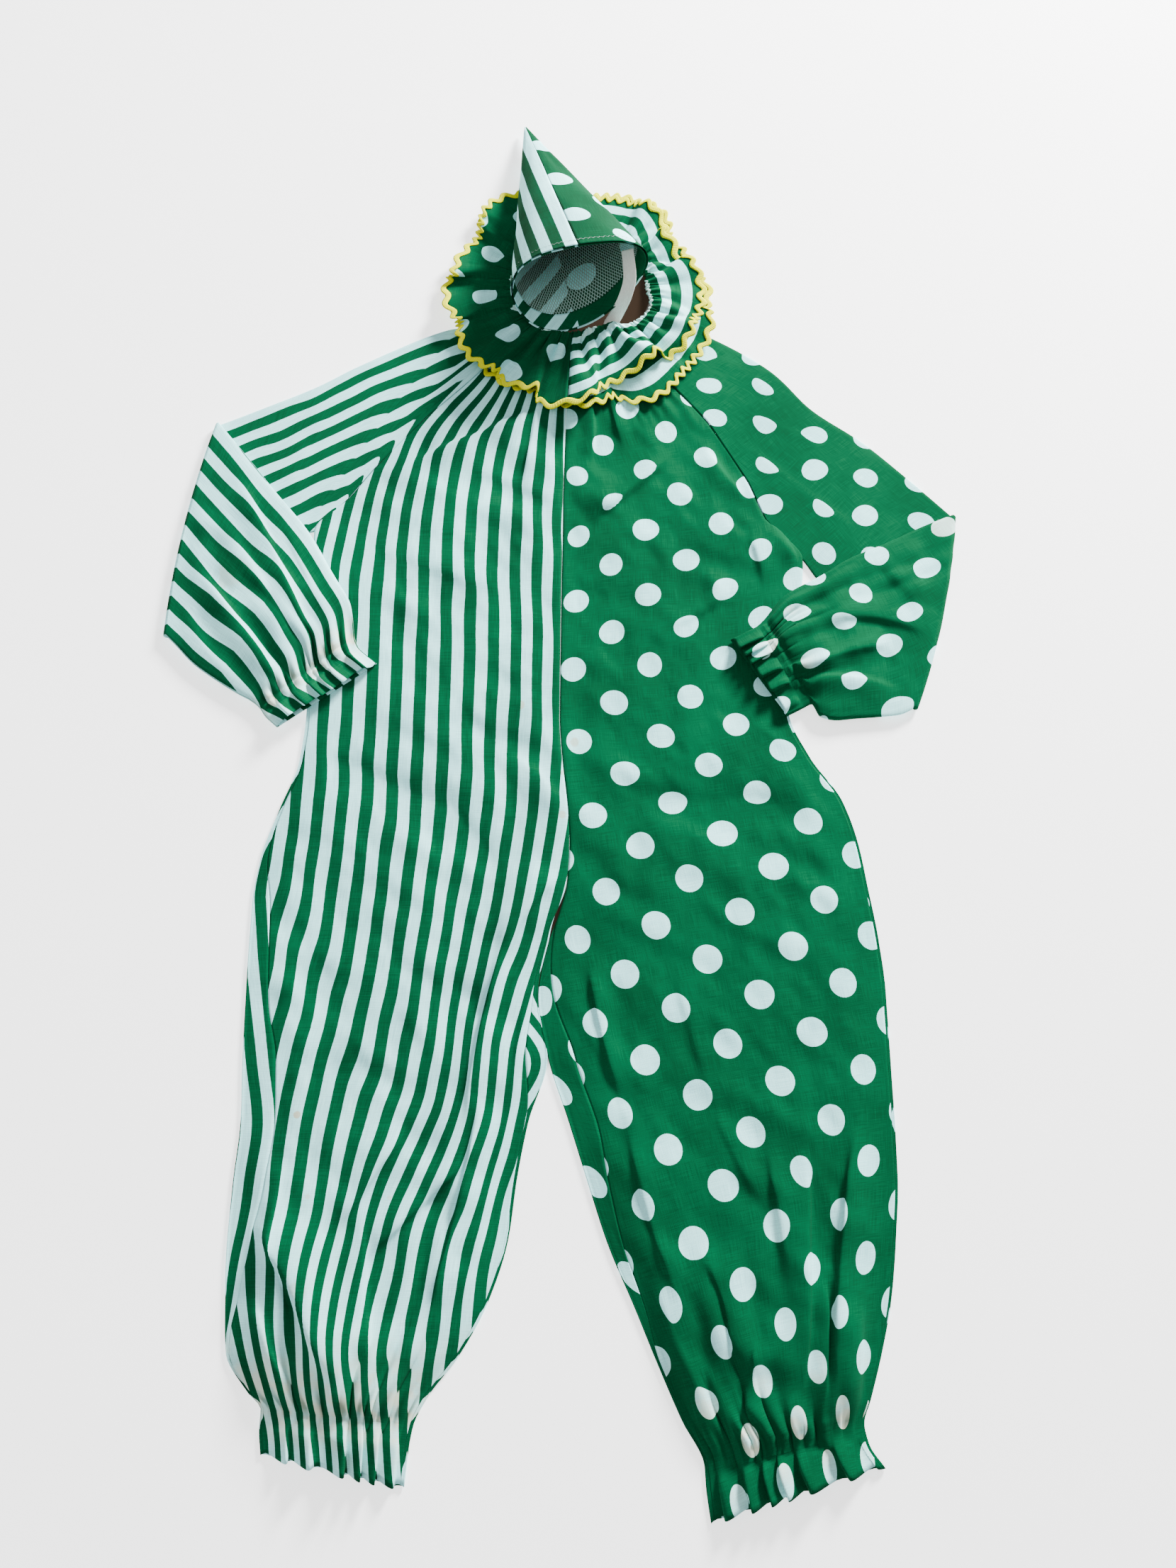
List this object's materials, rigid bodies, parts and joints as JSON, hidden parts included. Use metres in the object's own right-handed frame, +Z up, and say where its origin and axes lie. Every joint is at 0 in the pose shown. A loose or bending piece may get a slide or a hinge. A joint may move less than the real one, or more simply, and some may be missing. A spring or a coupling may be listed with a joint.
{
  "type": "clown costume",
  "caption": "Clown costume laid flat: one-piece suit striped on one half and dotted on the other, ruffle collar with braid edging and a cone hat with chin elastic.",
  "frame": {"origin": "middle of the bounding box, on the surface the costume lies on", "axes": "+Y towards the head, +X towards the wearer's left, +Z up from the surface"},
  "size_m": [0.9501, 1.7044, 0.1268],
  "materials": {
    "stripes": "plain-weave cotton blend, green and white stripes",
    "dots": "plain-weave cotton blend, green with white dots",
    "rickrack": "woven zigzag braid",
    "mesh": "stiff open mesh",
    "elastic": "flat ribbed elastic"
  },
  "bodies": {
    "root": {"front_right": "stripes", "back_right": "stripes", "sleeve_right": "stripes", "front_left": "dots", "back_left": "dots", "sleeve_left": "dots", "collar_dots": "dots", "collar_stripes": "stripes", "rickrack_top": "rickrack", "rickrack_under": "rickrack", "hat_stripes": "stripes", "hat_dots": "dots", "hat_mesh": "mesh", "hat_hem": "dots", "hat_elastic": "elastic"}
  },
  "joints": []
}
